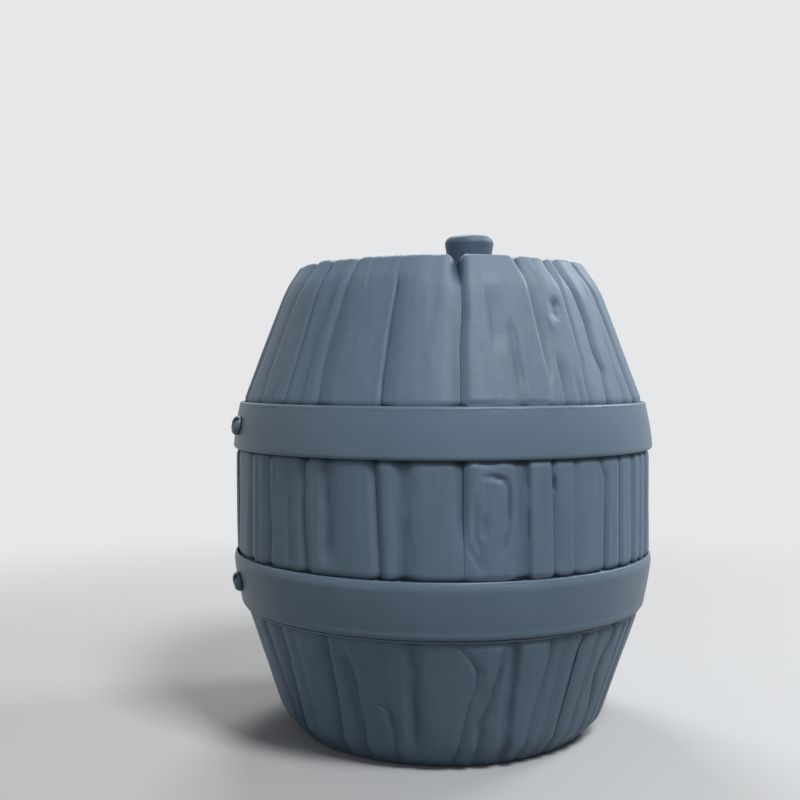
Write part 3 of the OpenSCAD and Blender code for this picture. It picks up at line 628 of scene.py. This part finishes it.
def forge(hoop, seed, lip_top):
    """The small unevenness that the hammer leaves, only on the outside, and the ragged edge of a lip."""
    mesh = hoop.data
    co = np.zeros(len(mesh.vertices) * 3)
    mesh.vertices.foreach_get("co", co)
    co = co.reshape(-1, 3) / MM
    r, z = np.hypot(co[:, 0], co[:, 1]), co[:, 2]
    a = np.arctan2(co[:, 0], -co[:, 1])
    (r0, z0), (r1, z1) = hoop_seats[hoop.name]
    depth = r - (r0 + (r1 - r0) * (z - z0) / (z1 - z0) + hoop_gap)
    outside_share = np.clip((depth - 0.9) / 1.5, 0, 1)
    around = (a % (2 * math.pi)) / (2 * math.pi) * Grain.size
    dent = Grain(seed)
    edge_share = np.clip(1 - (z1 - z) / 9, 0, 1)
    push = 0.2 * dent.at(around, z / 22) + 0.06 * dent.at(around * 4, z / 8) - 0.26 \
        - 0.5 * edge_share * np.clip(dent.at(around * 3, z / 2.5), 0, 1)
    new_r = r + push * outside_share
    if lip_top:
        angle = np.degrees(a)
        broken = sum(np.clip((angle - start) / (gone - start), 0, 1) * np.clip((end - angle) / 0.9, 0, 1)
                     for start, gone, end in lip_breaks)
        z = z + 0.9 * np.clip(lip_top - z, 0, None) * broken
    co[:, 0] *= new_r / r
    co[:, 1] *= new_r / r
    co[:, 2] = z
    mesh.vertices.foreach_set("co", (co * MM).ravel())
    mesh.attributes.remove(mesh.attributes["row"])
    mesh.update()


def hoop_middle(name):
    """Height, radius of the face and lean of a hoop at the middle of its width."""
    (r0, z0), (r1, z1) = hoop_seats[name]
    z = (z0 + hoop_lips[name][0] + z1) / 2
    face = r0 + (r1 - r0) * (z - z0) / (z1 - z0) + hoop_gap + hoop_thick + hoop_crown
    return z, face, math.degrees(math.atan((r0 - r1) / (z1 - z0)))


def set_on_cask(piece, angle, z, radius, lean):
    """Stands a piece on the outside of the cask, its own +Z pointing outwards, and fixes that in its mesh."""
    a = math.radians(angle)
    piece.data.transform(
        Matrix.Translation((radius * MM * math.sin(a), -radius * MM * math.cos(a), z * MM))
        @ Matrix.Rotation(a - math.pi / 2, 4, "Z") @ Matrix.Rotation(math.radians(90 - lean), 4, "Y"))
    piece.data.update()


def cut_with(piece, cutter):
    """Takes one piece's shape out of another's."""
    cut = piece.modifiers.new("cut", "BOOLEAN")
    cut.operation, cut.solver, cut.object = "DIFFERENCE", "EXACT", cutter
    deselect_all()
    piece.select_set(True)
    bpy.context.view_layer.objects.active = piece
    bpy.ops.object.modifier_apply(modifier=cut.name)
    bpy.data.objects.remove(cutter, do_unlink=True)


for name, seed in (("lower_hoop_forged", 21), ("upper_hoop_forged", 22)):
    hoop = turned_piece(name, hoop_line(name), 360, 420, "ring", 5)
    lip_wide = hoop_lips[name][0]
    forge(hoop, seed, hoop_seats[name][0][1] + lip_wide if lip_wide else None)
    z, face, lean = hoop_middle(name)
    bpy.ops.mesh.primitive_cube_add(size=1)
    slit = bpy.context.active_object
    slit.data.transform(Matrix.Diagonal((*[size * MM for size in slit_size], 1)))
    set_on_cask(slit, screw_angle - math.degrees(scarf_half / (belly_r + 3)), z, face, lean)
    cut_with(hoop, slit)
    smooth_piece(hoop, 40)
    hoop.data.materials.clear()
    hoop.data.materials.append(hoop_iron)
    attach(hoop, "cask")
    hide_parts(name.replace("_forged", ""))

# Hoop screws.
# One stout slotted screw holds the lap of each hoop and bites into a stave. Its head is a thick turned
# disc with a soft rim and a coarse cut slot.
screw_iron = iron("screw_iron", slate(78, 97, 114), slate(90, 110, 128), (0.36, 0.5), 0.4)
head_r, head_high, slot_wide, slot_deep = 9.75, 6.65, 4.2, 4.7
for name, slot_turn in (("lower_hoop_screw", 38), ("upper_hoop_screw", 42)):
    z, face, lean = hoop_middle(name.replace("_screw", "_forged"))
    screw_line = [(0, -18.5), (2.6, -18.5), (3.9, -16.5), (3.9, 0.15), (9.3, 0.15), (head_r, 0.5),
                  *round_corner((head_r - 5, 1.2), (5, 5.3), 4, 84, 12), (2, 6.6), (0, head_high)]
    screw = turned_piece(name + "_turned", screw_line, 360, 72, "open")
    screw.data.attributes.remove(screw.data.attributes["row"])
    deselect_all()
    bpy.ops.mesh.primitive_cube_add(size=1)
    slot_cutter = bpy.context.active_object
    slot_cutter.data.transform(Matrix.Translation((0, 0, head_high * MM))
                               @ Matrix.Rotation(math.radians(-slot_turn), 4, "Z")
                               @ Matrix.Diagonal((30 * MM, slot_wide * MM, 2 * slot_deep * MM, 1)))
    cut_with(screw, slot_cutter)
    worn_rim = screw.modifiers.new("worn_rim", "BEVEL")
    worn_rim.width, worn_rim.segments, worn_rim.limit_method = 0.3 * MM, 2, "ANGLE"
    worn_rim.angle_limit = math.radians(40)
    bpy.ops.object.modifier_apply(modifier=worn_rim.name)
    set_on_cask(screw, screw_angle, z, face, lean)
    smooth_piece(screw, 35)
    screw.data.materials.clear()
    screw.data.materials.append(screw_iron)
    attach(screw, "cask")
    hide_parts(name)

# Stopper.
# A tapered plug turned from one piece of wood, wide end up, with faint lathe marks round its side and a
# soft domed top. It stands loose in the tapered hole of the middle head board.
stopper_wood = wood("stopper_wood", slate(72, 91, 108), slate(80, 100, 118), 2, (0.46, 0.6), None)
# Its distance from the cask's axis, its lower end and its widest place as radius and height, and its dome
stopper_x, top_round = 29, 8
end_r, end_z, wide_r, wide_z = 17.5, 449, 25.8, 502.5
dome_r, dome_z, dome_rise = 17.6, 510.4, 1.35
stopper_line = [(0, end_z), (15.6, end_z), (16.3, end_z + 0.4)]
for z in np.linspace(end_z + 1.5, wide_z, 76):
    lathe_mark = 0.1 + 0.05 * math.sin(z * 2.6)
    stopper_line.append((end_r + (wide_r - end_r) * (z - end_z) / (wide_z - end_z) - lathe_mark, z))
stopper_line += round_corner((wide_r - 0.15 - top_round, wide_z), top_round, 6, 84, 14)
stopper_line += [(r, dome_z + dome_rise * (1 - (r / dome_r) ** 2)) for r in np.linspace(16.5, 0, 14)]
stopper = turned_piece("stopper_turned", stopper_line, 360, 128, "open")
stopper.data.attributes.remove(stopper.data.attributes["row"])
co = np.zeros(len(stopper.data.vertices) * 3)
stopper.data.vertices.foreach_get("co", co)
co = co.reshape(-1, 3)
a = np.arctan2(co[:, 1], co[:, 0])
swell = 1 - 0.004 * (1 + np.sin(2 * a + 0.6)) - 0.002 * (1 + np.sin(5 * a + co[:, 2] * 90))
co[:, 0] = co[:, 0] * swell + stopper_x * MM
co[:, 1] = co[:, 1] * swell
stopper.data.vertices.foreach_set("co", co.ravel())
stopper.data.update()
smooth_piece(stopper, 50)
stopper.data.materials.append(stopper_wood)
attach(stopper, "stopper")
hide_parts("stopper")

# Studio.
# A plain pale floor that runs out into a background of the same tone, soft light from large lamps high
# on the right, and the camera at the photograph's place.
pale = (0.79, 0.8, 0.81, 1)
# The floor's grey as the eye sees it, and the darker one by which it throws light back on the cask
floor_grey, floor_thrown = (0.5, 0.51, 0.52, 1), (0.24, 0.25, 0.26, 1)
# Where the floor starts to run out into the background and where it has, in metres from the cask
fade_start, fade_end = 0.45, 1.5
deselect_all()
bpy.ops.mesh.primitive_plane_add(size=30)
floor = bpy.context.active_object
floor.name = "floor"


def seen(nodes, links):
    """1 for rays that the eye follows, straight or by way of a shine or a glass."""
    rays = nodes.new("ShaderNodeLightPath")
    total = rays.outputs["Is Camera Ray"]
    for kind in ("Is Glossy Ray", "Is Transmission Ray"):
        either = nodes.new("ShaderNodeMath")
        either.operation = "MAXIMUM"
        links.new(total, either.inputs[0])
        links.new(rays.outputs[kind], either.inputs[1])
        total = either.outputs["Value"]
    return total


floor_paint = bpy.data.materials.new("floor_paint")
floor_paint.use_nodes = True
nodes, links = floor_paint.node_tree.nodes, floor_paint.node_tree.links
paint = nodes["Principled BSDF"]
paint.inputs["Roughness"].default_value = 0.8
paint.inputs["Specular IOR Level"].default_value = 0.2
tone = nodes.new("ShaderNodeMix")
tone.data_type = "RGBA"
tone.inputs["A"].default_value, tone.inputs["B"].default_value = floor_thrown, floor_grey
links.new(seen(nodes, links), tone.inputs["Factor"])
links.new(tone.outputs["Result"], paint.inputs["Base Color"])
spot = nodes.new("ShaderNodeNewGeometry")
from_cask = nodes.new("ShaderNodeVectorMath")
from_cask.operation = "LENGTH"
links.new(spot.outputs["Position"], from_cask.inputs[0])
far = nodes.new("ShaderNodeMapRange")
far.interpolation_type = "SMOOTHSTEP"
far.inputs["From Min"].default_value, far.inputs["From Max"].default_value = fade_start, fade_end
links.new(from_cask.outputs["Value"], far.inputs["Value"])
share = nodes.new("ShaderNodeMath")
share.operation = "MULTIPLY"
links.new(far.outputs["Result"], share.inputs[0])
links.new(seen(nodes, links), share.inputs[1])
glow = nodes.new("ShaderNodeEmission")
glow.inputs["Color"].default_value = pale
fade = nodes.new("ShaderNodeMixShader")
links.new(share.outputs["Value"], fade.inputs["Fac"])
links.new(paint.outputs["BSDF"], fade.inputs[1])
links.new(glow.outputs["Emission"], fade.inputs[2])
links.new(fade.outputs["Shader"], nodes["Material Output"].inputs["Surface"])
floor.data.materials.append(floor_paint)


def lamp(name, place, aim, size, power):
    """A large soft lamp that looks at a point."""
    data = bpy.data.lights.new(name, "AREA")
    data.shape, data.size, data.energy = "SQUARE", size, power
    o = bpy.data.objects.new(name, data)
    bpy.context.scene.collection.objects.link(o)
    o.location = place
    o.rotation_euler = (Vector(aim) - Vector(place)).to_track_quat("-Z", "Y").to_euler()


lamp("key", (0.9, -1.35, 2.45), (0, 0, 0.25), 0.7, 63)
lamp("rim", (1.6, 0.8, 1.6), (0, 0, 0.35), 0.6, 22)
lamp("top", (-0.2, 1.0, 1.75), (0, 0, 0.45), 0.6, 17)
lamp("fill", (-2.2, -1.4, 0.9), (0, 0, 0.25), 1.6, 3)

world = bpy.data.worlds.new("studio_air")
bpy.context.scene.world = world
world.use_nodes = True
nodes, links = world.node_tree.nodes, world.node_tree.links
nodes.clear()
output, soft_air, seen_air, which = (nodes.new(t) for t in (
    "ShaderNodeOutputWorld", "ShaderNodeBackground", "ShaderNodeBackground", "ShaderNodeMixShader"))
soft_air.inputs["Color"].default_value, soft_air.inputs["Strength"].default_value = (1, 1, 1, 1), 0.13
seen_air.inputs["Color"].default_value, seen_air.inputs["Strength"].default_value = pale, 1
links.new(seen(nodes, links), which.inputs["Fac"])
links.new(soft_air.outputs["Background"], which.inputs[1])
links.new(seen_air.outputs["Background"], which.inputs[2])
links.new(which.outputs["Shader"], output.inputs["Surface"])

camera_data = bpy.data.cameras.new("camera")
camera_data.lens, camera_data.sensor_width = 50, 36
camera = bpy.data.objects.new("camera", camera_data)
bpy.context.scene.collection.objects.link(camera)
camera.location = (0, -1.1761, 0.3673)
camera.rotation_euler = (math.radians(88.6), 0, math.radians(2.14))
bpy.context.scene.camera = camera
bpy.context.scene.view_settings.view_transform = "Standard"
